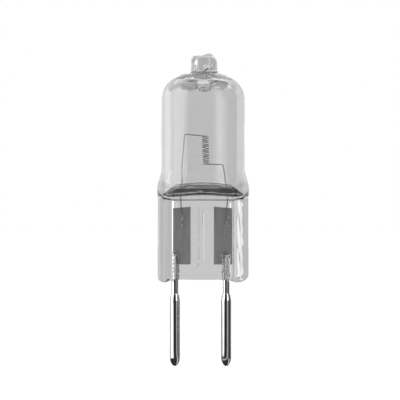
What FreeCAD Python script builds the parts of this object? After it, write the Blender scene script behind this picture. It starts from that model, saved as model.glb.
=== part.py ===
import FreeCAD, Part
import math
import os

# Two-pin quartz halogen capsule, in millimetres.
# +Z is up, +X runs from one pin to the other, -Y is the front.
# The origin is on the bulb's axis, level with the tips of the pins.

# Pins, to the standard two-pin fit
pin_spacing = 6.35
pin_diameter = 1.25
pin_nose_length = 1.04
pin_nose_flat = 0.3
pin_length = 9.0
pin_taper_length = 0.9
pin_rim_wall = 0.04
pin_bore_gap = 0.02
pin_bore_floor = 5.6

# The metal parts sit this far off the bulb's axis, along X
mount_shift = -0.32

# Outer leads
lead_diameter = 0.8
lead_depth = 3.3
lead_edge_break = 0.1
lead_channel_gap = 0.17
channel_steps = 1

# Foils
foil_width = 2.4
foil_height = 7.05
foil_thickness = 0.036
foil_edge_thickness = 0.01
foil_feather = 0.35
foil_weld_overlap = 1.4
left_foil_offset = 0.74
right_foil_offset = -0.33

# Filament
wire_diameter = 0.14
wire_channel_gap = 0.02
coil_turns = 14
coil_pitch = 0.252
coil_diameter = 0.78
coil_rise = 4.35
coil_top_x = 0.26
coil_lean = 2.4
coil_steps = 10
wire_sides = 8
bend_step_angle = 25.0
leg_bend_radius = 0.22
leg_exit_length = 0.45
left_corner_x = -2.36
left_corner_rise = 0.22
left_waist_x = -2.78
right_corner_x = 2.53
right_waist_x = 2.97
leg_waist_rise = 1.85
leg_weld_length = 1.9
left_weld_shift = 0.12
right_weld_shift = -0.2

# Bulb
bulb_diameter = 10.3
bulb_wall = 1.0
bulb_height = 15.6
dome_corner_radius = 3.0
dome_crown = 0.12
dome_wall = 1.05
dome_steps = 5
drop_diameter = 4.8
drop_length = 1.45
drop_flat = 3.2

# Closed exhaust tip
tip_diameter = 3.28
tip_x = 0.14
tip_height = 2.25
tip_corner_radius = 0.7
tip_peak_height = 0.3
tip_peak_diameter = 1.6
tip_peak_flat = 0.5
tip_peak_offset = 0.6
tip_steps = 3

# Press seal
glass_foot = 10.7
press_height = 9.95
press_width = 11.18
rail_width = 1.31
web_thickness = 2.9
rail_thickness = 4.3
rail_edge_radius = 0.9
rail_root_radius = 0.35
rail_crown_radius = 0.3
rail_drop = 0.35
web_edge_rise = 0.18
rail_side_rise = 0.5
rail_foot_place = 0.3
rail_foot_blend = 0.7
rail_foot_sag = 0.05
rail_root_height = 0.45
rail_root_taper = 0.3
shoulder_angle = 8.5
floor_angle = 17.4
shoulder_root_radius = 0.4
floor_glass = 0.55
floor_tip_radius = 0.25
flare_overhang = 0.56
flare_height = 4.0
flare_depth_loss = 0.35
flare_widest = 0.3
flare_foot_spread = 0.75
flare_rings = 7

# Derived places
pin_radius = pin_diameter / 2
lead_radius = lead_diameter / 2
wire_radius = wire_diameter / 2
bulb_radius = bulb_diameter / 2
cavity_radius = bulb_radius - bulb_wall
fold_height = glass_foot + press_height
lead_top = glass_foot + lead_depth
coil_bottom = fold_height + coil_rise
leg_waist_height = fold_height + leg_waist_rise
web_width = press_width - 2 * rail_width
bulb_top = fold_height + bulb_height
left_pin_x = mount_shift - pin_spacing / 2
right_pin_x = mount_shift + pin_spacing / 2
foil_front_y = lead_radius
foil_bottom = lead_top - foil_weld_overlap
foil_top = foil_bottom + foil_height
leg_y = foil_front_y - wire_radius
leg_end = foil_top - leg_weld_length
shoulder_slope = math.tan(math.radians(shoulder_angle))
floor_slope = math.tan(math.radians(floor_angle))

UP = FreeCAD.Vector(0, 0, 1)
BACK = FreeCAD.Vector(0, 1, 0)
CENTRE = FreeCAD.Vector(0, 0, 0)
FAR = 20.0


def point(x, y, z):
    return FreeCAD.Vector(x, y, z)


def line(start, end):
    return Part.LineSegment(start, end).toShape()


def arc(start, middle, end):
    return Part.Arc(start, middle, end).toShape()


def turned(edges):
    """A solid turned about the Z axis from edges in the XZ plane."""
    return Part.Face(Part.Wire(edges)).revolve(CENTRE, UP, 360)


def domed_profile(radius, bottom, top, corner_radius, crown, corner_steps):
    """A plain cylinder's half profile with a rounded, slightly crowned top."""
    corner_z = top - crown - corner_radius
    flat_x = radius - corner_radius
    outline = [point(0, 0, bottom), point(radius, 0, bottom)]
    for step in range(corner_steps + 1):
        angle = math.pi / 2 * step / corner_steps
        x = flat_x + corner_radius * math.cos(angle)
        outline.append(point(x, 0, corner_z + corner_radius * math.sin(angle)))
    outline.append(point(0, 0, top))
    outline.append(outline[0])
    return Part.makePolygon(outline).Edges


def bulb_body():
    """The blown tube and its dome, above the shoulder's flare."""
    bottom = fold_height + flare_height
    edges = domed_profile(
        bulb_radius, bottom, bulb_top, dome_corner_radius, dome_crown, dome_steps
    )
    return turned(edges)


def exhaust_tip():
    """The melted stub of the exhaust tube, with its off-centre peak."""
    root = bulb_top - dome_wall / 2
    top = bulb_top + tip_height
    stub = turned(domed_profile(tip_diameter / 2, root, top, tip_corner_radius, 0, tip_steps))
    stub.translate(point(tip_x, 0, 0))
    peak = Part.makeCone(
        tip_peak_diameter / 2,
        tip_peak_flat / 2,
        tip_corner_radius + tip_peak_height,
        point(tip_x + tip_peak_offset, 0, top - tip_corner_radius),
    )
    return stub.fuse(peak)


def flare():
    """The tube's foot, which spreads sideways as the press closes on it."""
    rings = []
    for index in range(flare_rings):
        share = index / (flare_rings - 1)
        height = fold_height + flare_height * share
        half_width = bulb_radius + flare_overhang * flare_spread(share)
        half_depth = bulb_radius - flare_depth_loss * (1 - share) ** 2
        rings.append(ring(half_width, half_depth, height))
    return Part.makeLoft(rings, True, True)


def flare_spread(share):
    """The share of the sideways spread that is there at a share of the height."""
    if share < flare_widest:
        below = (flare_widest - share) / flare_widest
        return 1 - (1 - flare_foot_spread) * below ** 2
    return (1 + math.cos(math.pi * (share - flare_widest) / (1 - flare_widest))) / 2


def ring(half_width, half_depth, height):
    """An ellipse across the Z axis, as a closed wire."""
    ellipse = Part.Ellipse(point(0, 0, height), half_width, half_depth)
    return Part.Wire([ellipse.toShape()])


def press_jaw(side):
    """What the jaw on one side takes away below the shoulder's slope."""
    inner = web_thickness / 2
    reach = FAR - inner
    bend = math.radians(90 - shoulder_angle)
    setback = shoulder_root_radius * math.tan(bend / 2)
    low = point(-FAR, side * inner, glass_foot - FAR)
    before = point(-FAR, side * inner, fold_height - setback)
    after = point(
        -FAR,
        side * (inner + setback * math.cos(math.radians(shoulder_angle))),
        fold_height + setback * math.sin(math.radians(shoulder_angle)),
    )
    centre_y = inner + shoulder_root_radius
    centre_z = fold_height - setback
    half = math.radians(180 - (90 - shoulder_angle) / 2)
    middle = point(
        -FAR,
        side * (centre_y + shoulder_root_radius * math.cos(half)),
        centre_z + shoulder_root_radius * math.sin(half),
    )
    high = point(-FAR, side * FAR, fold_height + reach * shoulder_slope)
    corner = point(-FAR, side * FAR, glass_foot - FAR)
    edges = [
        line(low, before),
        arc(before, middle, after),
        line(after, high),
        line(high, corner),
        line(corner, low),
    ]
    return Part.Face(Part.Wire(edges)).extrude(point(2 * FAR, 0, 0))


def edges_along_z(shape, x, y):
    """The upright edges of a shape at plus or minus x and y."""
    found = []
    for edge in shape.Edges:
        box = edge.BoundBox
        upright = box.XLength < 1e-6 and box.YLength < 1e-6
        if upright and abs(abs(box.XMin) - x) < 1e-6 and abs(abs(box.YMin) - y) < 1e-6:
            found.append(edge)
    return found


def press_seal():
    """The flat web between two rounded rails, with its wavy lower edge."""
    half_width = press_width / 2
    half_rail = rail_thickness / 2
    half_web = web_thickness / 2
    bottom = glass_foot - 2 * rail_drop
    height = fold_height + rail_root_height - bottom
    block = Part.makeBox(
        press_width, rail_thickness, height, point(-half_width, -half_rail, bottom)
    )
    block = block.makeFillet(rail_edge_radius, edges_along_z(block, half_width, half_rail))
    depth = half_rail - half_web
    for side in (-1, 1):
        recess = Part.makeBox(
            web_width, 2 * depth, height, point(-web_width / 2, half_web, bottom)
        )
        recess = recess.makeFillet(
            rail_root_radius, edges_along_z(recess, web_width / 2, half_web)
        )
        if side < 0:
            recess.rotate(CENTRE, UP, 180)
        block = block.cut(recess)
    crowns = edges_along_z(block, web_width / 2, half_rail)
    block = block.makeFillet(rail_crown_radius, crowns)
    return block.common(front_outline())


def front_outline():
    """The front outline of the press seal: the rails' rounded feet and tapered roots."""
    half_width = press_width / 2
    root_x = half_width - rail_root_taper
    root_z = fold_height + rail_root_height
    rail_x = web_width / 2 + rail_width * rail_foot_place
    rail_z = glass_foot - rail_drop
    web_x = web_width / 2 - rail_width * rail_foot_blend
    web_z = glass_foot + web_edge_rise
    side_z = glass_foot + rail_side_rise
    diagonal = math.sqrt(0.5)
    right = [
        line(point(root_x, -FAR, root_z), point(half_width, -FAR, fold_height)),
        line(point(half_width, -FAR, fold_height), point(half_width, -FAR, side_z)),
        arc(
            point(half_width, -FAR, side_z),
            point(
                rail_x + (half_width - rail_x) * diagonal,
                -FAR,
                side_z - (side_z - rail_z) * diagonal,
            ),
            point(rail_x, -FAR, rail_z),
        ),
        arc(
            point(rail_x, -FAR, rail_z),
            point(
                (rail_x + web_x) / 2 - rail_foot_sag,
                -FAR,
                (rail_z + web_z) / 2 - rail_foot_sag,
            ),
            point(web_x, -FAR, web_z),
        ),
    ]
    left = []
    for edge in right:
        left.append(edge.mirror(CENTRE, point(1, 0, 0)))
    web = arc(
        point(web_x, -FAR, web_z), point(0, -FAR, glass_foot), point(-web_x, -FAR, web_z)
    )
    lid = line(point(-root_x, -FAR, root_z), point(root_x, -FAR, root_z))
    wire = Part.Wire(Part.__sortEdges__(right + [web] + left + [lid]))
    return Part.Face(wire).extrude(point(0, 2 * FAR, 0))


def cavity():
    """The gas space: a domed tube with a wedge-shaped floor and a hanging drop."""
    inner_top = bulb_top - dome_wall
    corner = dome_corner_radius - bulb_wall
    space = turned(
        domed_profile(cavity_radius, glass_foot, inner_top, corner, 0, dome_steps)
    )
    space = space.common(above_wedge(fold_height + floor_glass))
    return space.cut(hanging_drop(inner_top))


def above_wedge(floor):
    """All the room above the V that the two jaws pressed into the tube."""
    tip = floor_tip_radius
    low = floor + tip * floor_slope
    high = floor + FAR * floor_slope
    lid = bulb_top + FAR
    edges = [
        arc(point(-FAR, -tip, low), point(-FAR, 0, floor), point(-FAR, tip, low)),
        line(point(-FAR, tip, low), point(-FAR, FAR, high)),
        line(point(-FAR, FAR, high), point(-FAR, FAR, lid)),
        line(point(-FAR, FAR, lid), point(-FAR, -FAR, lid)),
        line(point(-FAR, -FAR, lid), point(-FAR, -FAR, high)),
        line(point(-FAR, -FAR, high), point(-FAR, -tip, low)),
    ]
    return Part.Face(Part.Wire(edges)).extrude(point(2 * FAR, 0, 0))


def hanging_drop(inner_top):
    """The bead of glass that hangs inside the dome, under the exhaust tip."""
    cone = Part.makeCone(
        drop_flat / 2, drop_diameter / 2, drop_length, point(tip_x, 0, inner_top - drop_length)
    )
    root = Part.makeCylinder(drop_diameter / 2, dome_wall / 2, point(tip_x, 0, inner_top))
    return cone.fuse(root)


def foil(centre_x):
    """A molybdenum foil with feathered edges, standing upright behind its lead."""
    half = foil_width / 2
    thick = foil_thickness / 2
    edge = foil_edge_thickness / 2
    middle_y = foil_front_y + thick
    flat = half - foil_feather
    corners = [
        (-half, -edge), (-flat, -thick), (flat, -thick), (half, -edge),
        (half, edge), (flat, thick), (-flat, thick), (-half, edge),
    ]
    points = []
    for x, y in corners:
        points.append(point(centre_x + x, middle_y + y, foil_bottom))
    points.append(points[0])
    face = Part.Face(Part.makePolygon(points))
    return face.extrude(point(0, 0, foil_height))


def lead(x):
    """A straight molybdenum rod, from inside its pin to its weld on the foil."""
    rod = Part.makeCylinder(
        lead_radius, lead_top - pin_bore_floor, point(x, 0, pin_bore_floor)
    )
    rims = []
    for edge in rod.Edges:
        if edge.Closed and edge.BoundBox.ZMin > foil_bottom:
            rims.append(edge)
    return rod.makeChamfer(lead_edge_break, rims)


def lead_channel(x):
    """The fine gap that the glass leaves round a lead, with an arched top."""
    radius = lead_radius + lead_channel_gap
    bottom = glass_foot - 2 * rail_drop
    roof = lead_top + lead_channel_gap
    channel = turned(domed_profile(radius, bottom, roof, lead_radius, 0, channel_steps))
    channel.translate(point(x, 0, 0))
    return channel


def pin(x):
    """A pin: a closed nickel tube with a bullet nose, necked in at its rim."""
    rim = lead_radius + pin_bore_gap + pin_rim_wall
    shoulder = pin_length - pin_taper_length
    bore = lead_radius + pin_bore_gap
    nose_end = pin_nose_flat / 2
    nose_inset = pin_radius - nose_end
    nose_radius = (nose_inset ** 2 + pin_nose_length ** 2) / (2 * nose_inset)
    half_swing = math.asin(pin_nose_length / nose_radius) / 2
    nose_middle = point(
        pin_radius - nose_radius * (1 - math.cos(half_swing)),
        0,
        pin_nose_length - nose_radius * math.sin(half_swing),
    )
    edges = [
        line(point(0, 0, 0), point(nose_end, 0, 0)),
        arc(point(nose_end, 0, 0), nose_middle, point(pin_radius, 0, pin_nose_length)),
        line(point(pin_radius, 0, pin_nose_length), point(pin_radius, 0, shoulder)),
        line(point(pin_radius, 0, shoulder), point(rim, 0, pin_length)),
        line(point(rim, 0, pin_length), point(bore, 0, pin_length)),
        line(point(bore, 0, pin_length), point(bore, 0, pin_bore_floor)),
        line(point(bore, 0, pin_bore_floor), point(0, 0, pin_bore_floor)),
        line(point(0, 0, pin_bore_floor), point(0, 0, 0)),
    ]
    body = turned(edges)
    body.translate(point(x, 0, 0))
    return body


def coil_points():
    """Points along the coil, from its lower end at the back to its upper end."""
    radius = coil_diameter / 2
    lean = math.tan(math.radians(coil_lean))
    height = coil_pitch * coil_turns
    points = []
    for index in range(coil_turns * coil_steps + 1):
        angle = math.pi / 2 + 2 * math.pi * index / coil_steps
        rise = coil_pitch * index / coil_steps
        x = coil_top_x + radius * math.cos(angle) + (height - rise) * lean
        points.append(point(x, radius * math.sin(angle), coil_bottom + rise))
    return points


def rounded_path(points, radius):
    """The points of a path with each corner turned into a short arc."""
    path = [points[0]]
    for index in range(1, len(points) - 1):
        corner = points[index]
        back = (points[index - 1] - corner).normalize()
        ahead = (points[index + 1] - corner).normalize()
        half_opening = back.getAngle(ahead) / 2
        setback = radius / math.tan(half_opening)
        inward = (back + ahead).normalize()
        centre = corner + inward * (radius / math.sin(half_opening))
        first = corner + back * setback - centre
        last = corner + ahead * setback - centre
        swing = first.getAngle(last)
        steps = math.ceil(swing / math.radians(bend_step_angle))
        for step in range(steps + 1):
            first_share = math.sin(swing * (1 - step / steps)) / math.sin(swing)
            last_share = math.sin(swing * step / steps) / math.sin(swing)
            path.append(centre + first * first_share + last * last_share)
    return path


def leg_path(coil_end, along_coil, corner_x, corner_z, waist_x, weld_x):
    """A leg's path: out of the coil, round its corner and down to the foil."""
    waist = point(waist_x, leg_y, leg_waist_height)
    bent = rounded_path(
        [
            coil_end,
            coil_end + along_coil * leg_exit_length,
            point(corner_x, coil_end.y, corner_z),
            waist,
        ],
        leg_bend_radius,
    )
    return bent + [waist, point(weld_x, leg_y, leg_end)]


def right_leg_path(coil):
    """The leg from the coil's lower end."""
    return leg_path(
        coil[0],
        (coil[0] - coil[1]).normalize(),
        right_corner_x,
        coil[0].z,
        right_waist_x,
        right_pin_x + right_foil_offset + right_weld_shift,
    )


def left_leg_path(coil):
    """The leg from the coil's upper end."""
    return leg_path(
        coil[-1],
        (coil[-1] - coil[-2]).normalize(),
        left_corner_x,
        coil[-1].z + left_corner_rise,
        left_waist_x,
        left_pin_x + left_foil_offset + left_weld_shift,
    )


def drawn_wire(path, radius):
    """A many-sided wire along a path, mitred where the path turns."""
    ways = []
    for start, end in zip(path, path[1:]):
        ways.append((end - start).normalize())
    side = ways[0].cross(BACK).normalize()
    other = ways[0].cross(side)
    section = []
    for index in range(wire_sides):
        angle = 2 * math.pi * index / wire_sides
        section.append(
            path[0] + side * (radius * math.cos(angle)) + other * (radius * math.sin(angle))
        )
    faces = [polygon_face(section)]
    for way, next_way, corner in zip(ways, ways[1:] + ways[-1:], path[1:]):
        mitre = way + next_way
        onwards = []
        for start in section:
            reach = (corner - start).dot(mitre) / way.dot(mitre)
            onwards.append(start + way * reach)
        for first in range(wire_sides):
            second = (first + 1) % wire_sides
            faces.append(
                polygon_face([section[first], section[second], onwards[second], onwards[first]])
            )
        section = onwards
    faces.append(polygon_face(section))
    shell = Part.Shell(faces)
    shell.sewShape()
    return Part.Solid(shell)


def polygon_face(corners):
    return Part.Face(Part.makePolygon(corners + corners[:1]))


def filament():
    """The coil and both legs, drawn from one wire."""
    coil = coil_points()
    path = right_leg_path(coil)[::-1] + coil[1:-1] + left_leg_path(coil)
    return drawn_wire(path, wire_radius)


def leg_channels():
    """The two close channels in the glass round the filament's legs."""
    coil = coil_points()
    channels = []
    for leg in (right_leg_path(coil), left_leg_path(coil)):
        channels.append(drawn_wire(leg[-2:], wire_radius + wire_channel_gap))
    return channels


def envelope():
    """The quartz glass: bulb, tip, flare and press seal in one piece."""
    foot = flare()
    for side in (-1, 1):
        foot = foot.cut(press_jaw(side))
    glass = bulb_body().fuse([exhaust_tip(), foot, press_seal()])
    glass = glass.removeSplitter()
    glass = glass.cut(cavity())
    metal_spaces = [
        lead_channel(left_pin_x),
        lead_channel(right_pin_x),
        foil(left_pin_x + left_foil_offset),
        foil(right_pin_x + right_foil_offset),
    ]
    metal_spaces.extend(leg_channels())
    return glass.cut(metal_spaces)


os.makedirs("parts", exist_ok=True)
nodes = {
    "quartz_envelope": envelope(),
    "tungsten_filament": filament(),
    "foil_left": foil(left_pin_x + left_foil_offset),
    "foil_right": foil(right_pin_x + right_foil_offset),
    "outer_lead_left": lead(left_pin_x),
    "outer_lead_right": lead(right_pin_x),
    "contact_pin_left": pin(left_pin_x),
    "contact_pin_right": pin(right_pin_x),
}
for name, shape in nodes.items():
    print(name, shape.ShapeType, len(shape.Solids), shape.isValid(),
          round(shape.Volume, 4), shape.BoundBox)
    shape.exportStep(os.path.join("parts", name + ".step"))
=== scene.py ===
import math

import bpy
import numpy as np
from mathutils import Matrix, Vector


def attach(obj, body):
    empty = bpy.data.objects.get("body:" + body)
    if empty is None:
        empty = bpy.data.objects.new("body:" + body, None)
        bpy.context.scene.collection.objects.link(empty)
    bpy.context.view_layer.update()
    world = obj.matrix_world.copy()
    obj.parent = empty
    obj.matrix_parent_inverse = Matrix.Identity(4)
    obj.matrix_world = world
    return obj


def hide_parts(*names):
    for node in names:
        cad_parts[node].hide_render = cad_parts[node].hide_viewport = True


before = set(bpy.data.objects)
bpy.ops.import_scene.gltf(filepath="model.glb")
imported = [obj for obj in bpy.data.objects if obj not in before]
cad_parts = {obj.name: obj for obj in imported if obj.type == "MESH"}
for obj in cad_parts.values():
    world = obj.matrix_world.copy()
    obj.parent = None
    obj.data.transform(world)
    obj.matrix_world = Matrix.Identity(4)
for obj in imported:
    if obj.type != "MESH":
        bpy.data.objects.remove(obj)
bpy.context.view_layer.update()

# A two-pin quartz halogen capsule. Lengths in this part are in millimetres,
# in the row frame, and become metres when a mesh is made.
MM = 0.001

# Main sizes, the same as in the part's source
PIN_SPACING = 6.35
MOUNT_SHIFT = -0.32
PIN_RADIUS = 0.625
PIN_LENGTH = 9.0
PIN_TAPER = 0.9
PIN_NOSE = 1.04
LEAD_RADIUS = 0.4
LEAD_TOP = 14.0
LEAD_FOOT = 5.6
CHANNEL_RADIUS = 0.57
BULB_RADIUS = 5.15
CAVITY_RADIUS = 4.15
DOME_CORNER = 3.0
DOME_CROWN = 0.12
CEILING_CORNER = 2.5
GLASS_FOOT = 10.7
FOLD_HEIGHT = 20.65
BULB_TOP = 36.25
TIP_TOP = 38.5
TIP_X = 0.14
WEB_HALF = 1.45
RAIL_HALF = 2.15
PRESS_HALF_WIDTH = 5.59
RAIL_WIDTH = 1.31
SHOULDER = math.radians(8.5)
FLOOR_SLOPE = math.radians(17.4)
LEFT_PIN_X = MOUNT_SHIFT - PIN_SPACING / 2
RIGHT_PIN_X = MOUNT_SHIFT + PIN_SPACING / 2


# Distances for the glass: each function gives the distance to a surface, negative inside
def smooth_min(first, second, blend):
    share = np.clip(0.5 + 0.5 * (second - first) / blend, 0, 1)
    return second * (1 - share) + first * share - blend * share * (1 - share)


def smooth_max(first, second, blend):
    return -smooth_min(-first, -second, blend)


def rounded_box(x, y, half_x, half_y, radius):
    away_x = np.abs(x) - half_x + radius
    away_y = np.abs(y) - half_y + radius
    outside = np.hypot(np.maximum(away_x, 0), np.maximum(away_y, 0))
    return outside + np.minimum(np.maximum(away_x, away_y), 0) - radius


def bump(distance, width):
    return np.exp(-(distance / width) ** 2)


def fade(value, start, end):
    """A smooth change from nought at the start to one at the end."""
    share = np.clip((value - start) / (end - start), 0, 1)
    return share * share * (3 - 2 * share)


def waves(x, y, z, rows):
    """Waves multiplied: a row has one wave's radians per millimetre along x, y and z, and its start."""
    height = 1.0
    for along_x, along_y, along_z, start in rows:
        height = height * np.sin(along_x * x + along_y * y + along_z * z + start)
    return height


# How far out the crown goes on falling, in radii of its flat part
CROWN_REACH = 1.5


def domed_tube(x, y, z, radius, top, corner, crown):
    """A round bar with a rounded, slightly crowned top."""
    r = np.hypot(x, y)
    lift = crown * np.minimum(r / (radius - corner), CROWN_REACH) ** 2
    away_r = r - radius + corner
    away_z = z + lift - top + corner
    outside = np.hypot(np.maximum(away_r, 0), np.maximum(away_z, 0))
    return outside + np.minimum(np.maximum(away_r, away_z), 0) - corner


# The flare: how high it is, how much wider than the tube, at what share of its height it is
# widest, how far it tucks in at the fold, and how much thinner it gets front to back
FLARE_HEIGHT = 4.0
FLARE_WIDENING = 0.552
FLARE_WIDEST = 0.3
FLARE_TUCK = 0.14
FLARE_THINNING = 0.35


def flare_share(z):
    """How far up the flare a height lies, from nought at the fold to one where the tube begins."""
    return np.clip((z - FOLD_HEIGHT) / FLARE_HEIGHT, 0, 1)


def flare_spread(z):
    """How much wider the flare is than the tube, on each side."""
    share = flare_share(z)
    rise = np.clip((share - FLARE_WIDEST) / (1 - FLARE_WIDEST), 0, 1)
    spread = FLARE_WIDENING * (1 + np.cos(math.pi * rise)) / 2
    return spread - FLARE_TUCK * np.clip((FLARE_WIDEST - share) / FLARE_WIDEST, 0, 1) ** 2


# The dome's creases: the radii and heights over which they begin and end, their waves,
# and their depths all round and at the back
CREASES_INNER = (1.2, 1.7)
CREASES_OUTER = (4.2, 3.0)
CREASES_FOOT = (34.6, 35.2)
CREASES_BACK = (0.8, 1.8)
CREASES = ((3.4, 1.6, 0, 0), (-2.1, 4.6, 0, 1.0))
FINE_CREASES = ((6.1, -2.7, 0, 0.6), (0, 5.2, 0, 1.2))
FINE_CREASE_SHARE = 0.7
CREASE_DEPTH = 0.014
BACK_CREASE_DEPTH = 0.05

# Two rises in the dome and the dent behind the tip: middle, widths along x and y, and height
DOME_RISES = (
    ((-2.2, 0.0), (0.72, 0.96), 0.12),
    ((2.3, -0.3), (0.99, 1.35), 0.1),
    ((TIP_X, 2.7), (1.7, 1.0), -0.42),
)


def wrinkles(x, y, z):
    """The relief that the flame leaves in the dome round the tip."""
    r = np.hypot(x - TIP_X, y)
    near = fade(r, *CREASES_INNER) * fade(r, *CREASES_OUTER) * fade(z, *CREASES_FOOT)
    creases = waves(x, y, z, CREASES) + FINE_CREASE_SHARE * waves(x, y, z, FINE_CREASES)
    relief = (CREASE_DEPTH + BACK_CREASE_DEPTH * fade(y, *CREASES_BACK)) * creases
    for (middle_x, middle_y), (width_x, width_y), height in DOME_RISES:
        relief = relief + height * bump(np.hypot((x - middle_x) / width_x, (y - middle_y) / width_y), 1)
    return near * relief


# How far the blown wall sways, its wave, and the heights over which that begins
SWAY = 0.03
SWAY_WAVES = ((0, 0, 0.9, 0.7),)
SWAY_FROM = (24.0, 28.0)


def blown_tube(x, y, z):
    """The bulb, its dome and its flared foot."""
    half_width = BULB_RADIUS + flare_spread(z)
    half_depth = BULB_RADIUS - FLARE_THINNING * (1 - flare_share(z)) ** 2
    round_x = x * BULB_RADIUS / half_width
    round_y = y * BULB_RADIUS / half_depth
    sway = SWAY * waves(x, y, z, SWAY_WAVES) * fade(z, *SWAY_FROM)
    blown = domed_tube(round_x + sway, round_y, z, BULB_RADIUS, BULB_TOP, DOME_CORNER, DOME_CROWN)
    return blown - wrinkles(x, y, z)


# The stub of the exhaust tube, and what its melted top has: a peak, a fall at the right, a dent
STUB_RADIUS = 1.64
STUB_UNEVENNESS = 0.03
STUB_WAVES = ((0, 0, 2.3, 0),)
STUB_CORNER = 0.5
STUB_CROWN = 0.05
STUB_ROOT = BULB_TOP - 1.0
PEAK_X = 0.78
PEAK_HEIGHT = 0.3
PEAK_WIDTH = 0.55
FALL_DEPTH = 0.35
FALL_SPAN = (0.9, 1.8)
DENT_PLACE = (-0.2, -0.8)
DENT_DEPTH = 0.1
DENT_WIDTH = 0.5


def exhaust_tip(x, y, z):
    """The melted stub with its off-centre peak and the dent beside it."""
    radius = STUB_RADIUS + STUB_UNEVENNESS * waves(x, y, z, STUB_WAVES)
    lift = PEAK_HEIGHT * bump(np.hypot(x - PEAK_X, y), PEAK_WIDTH)
    lift = lift - FALL_DEPTH * fade(x, *FALL_SPAN)
    lift = lift - DENT_DEPTH * bump(np.hypot(x - DENT_PLACE[0], y - DENT_PLACE[1]), DENT_WIDTH)
    stub = domed_tube(x - TIP_X, y, z - lift, radius, TIP_TOP, STUB_CORNER, STUB_CROWN)
    return np.maximum(stub, STUB_ROOT - z)


# The press seal's web and rails
WEB_INSET = 1.1
WEB_CORNER = 0.2
RAIL_CORNER = 0.55
WEB_RAIL_BLEND = 1.05
PRESS_OVERLAP = 0.3

# Streaks down the web: place, width and depth, and the heights over which they begin and end
STREAKS = ((0.2, 0.14, 0.03), (-0.22, 0.16, -0.035))
BROAD_STREAK_DEPTH = 0.012
BROAD_STREAKS = ((1.3, 0, 0.25, 0),)
STREAKS_FOOT = (11.5, 13.5)
STREAKS_TOP = (19.6, 18.8)

# Ripples in the right rail: height, waves, and the places across it where they begin and end
RIPPLE_HEIGHT = 0.012
BROAD_RIPPLES = ((7.0, 0, 2.6, 0), (-5.0, 0, 1.1, 0))
FINE_RIPPLES = ((0, 1.0, 5.3, 0), (0, 0, 1.9, 0))
FINE_RIPPLE_SHARE = 0.4
RIPPLES_FROM = (3.9, 4.3)
RIPPLES_TO = (5.0, 4.7)

# The melted lower edge: its bow, how far it hangs down (place, width, depth), and its rounding,
# which is tighter at the left
FOOT_BOW = 0.00625
FOOT_DROPS = ((-4.75, 0.95, 0.4), (4.25, 0.95, 0.46), (3.4, 0.5, -0.05))
FOOT_ROUNDING = 0.7
LEFT_FOOT_TIGHTER = 0.3
LEFT_FOOT_SPAN = (-4.2, -4.8)


def press_seal(x, y, z):
    """The web and the two rails that the jaws leave, with their melted lower edge."""
    streaks = BROAD_STREAK_DEPTH * waves(x, y, z, BROAD_STREAKS)
    for place, width, depth in STREAKS:
        streaks = streaks + depth * bump(x - place, width)
    streaks = streaks * fade(z, *STREAKS_TOP) * fade(z, *STREAKS_FOOT)
    web = rounded_box(x, y, PRESS_HALF_WIDTH - WEB_INSET, WEB_HALF, WEB_CORNER) + streaks
    rail_x = PRESS_HALF_WIDTH - RAIL_WIDTH / 2
    rails = rounded_box(np.abs(x) - rail_x, y, RAIL_WIDTH / 2, RAIL_HALF, RAIL_CORNER)
    ripple = waves(x, y, z, BROAD_RIPPLES) + FINE_RIPPLE_SHARE * waves(x, y, z, FINE_RIPPLES)
    rails = rails + ripple * RIPPLE_HEIGHT * fade(x, *RIPPLES_FROM) * fade(x, *RIPPLES_TO)
    section = smooth_min(web, rails, WEB_RAIL_BLEND)
    low = GLASS_FOOT + FOOT_BOW * x ** 2
    for place, width, depth in FOOT_DROPS:
        low = low - depth * bump(x - place, width)
    section = smooth_max(section, low - z, FOOT_ROUNDING - LEFT_FOOT_TIGHTER * fade(x, *LEFT_FOOT_SPAN))
    return smooth_max(section, z - FOLD_HEIGHT - PRESS_OVERLAP, PRESS_OVERLAP)


# How softly the parts of the outer surface run into each other
SHOULDER_SOFTNESS = 0.2
TUBE_FOOT_BLEND = 0.44
PRESS_BLEND = 0.15
TIP_BLEND = 0.4


def outer_skin(x, y, z):
    """The whole outer surface of the glass."""
    slope = (np.hypot(y, SHOULDER_SOFTNESS) - WEB_HALF) * math.sin(SHOULDER)
    above = slope - (z - FOLD_HEIGHT) * math.cos(SHOULDER)
    tube = smooth_max(blown_tube(x, y, z), above, TUBE_FOOT_BLEND)
    glass = smooth_min(tube, press_seal(x, y, z), PRESS_BLEND)
    return smooth_min(glass, exhaust_tip(x, y, z), TIP_BLEND)


# The leads' channels: the room over a lead, their arch and mouth, and how rough their walls are:
# a little all the way up, and more in an upper and a lower band
LEAD_HEADROOM = 0.17
CHANNEL_ARCH = 0.4
CHANNEL_MOUTH_BLEND = 0.12
CHANNEL_ROUGHNESS = 0.05
CHANNEL_WAVES = ((4.0, 0, 7.5, 0), (8.5, 3.0, -5.0, 0))
EVEN_SHARE = 0.3
UPPER_BAND_FROM = (12.9, 13.5)
LOWER_BAND_FROM = (11.0, 11.2)
LOWER_BAND_TO = (12.1, 11.7)


def lead_space(x, y, z):
    """The fine gap round each lead, open below and arched above."""
    spaces = []
    for pin_x in (LEFT_PIN_X, RIGHT_PIN_X):
        top = LEAD_TOP + LEAD_HEADROOM
        spaces.append(domed_tube(x - pin_x, y, z, CHANNEL_RADIUS, top, CHANNEL_ARCH, 0.0))
    rough = EVEN_SHARE + fade(z, *UPPER_BAND_FROM) + fade(z, *LOWER_BAND_FROM) * fade(z, *LOWER_BAND_TO)
    grain = CHANNEL_ROUGHNESS * rough * waves(x, y, z, CHANNEL_WAVES)
    return np.minimum(spaces[0], spaces[1]) + grain


def glass_outside(x, y, z):
    """The outer surface, opened where the leads come out."""
    return smooth_max(outer_skin(x, y, z), -lead_space(x, y, z), CHANNEL_MOUTH_BLEND)


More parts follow.
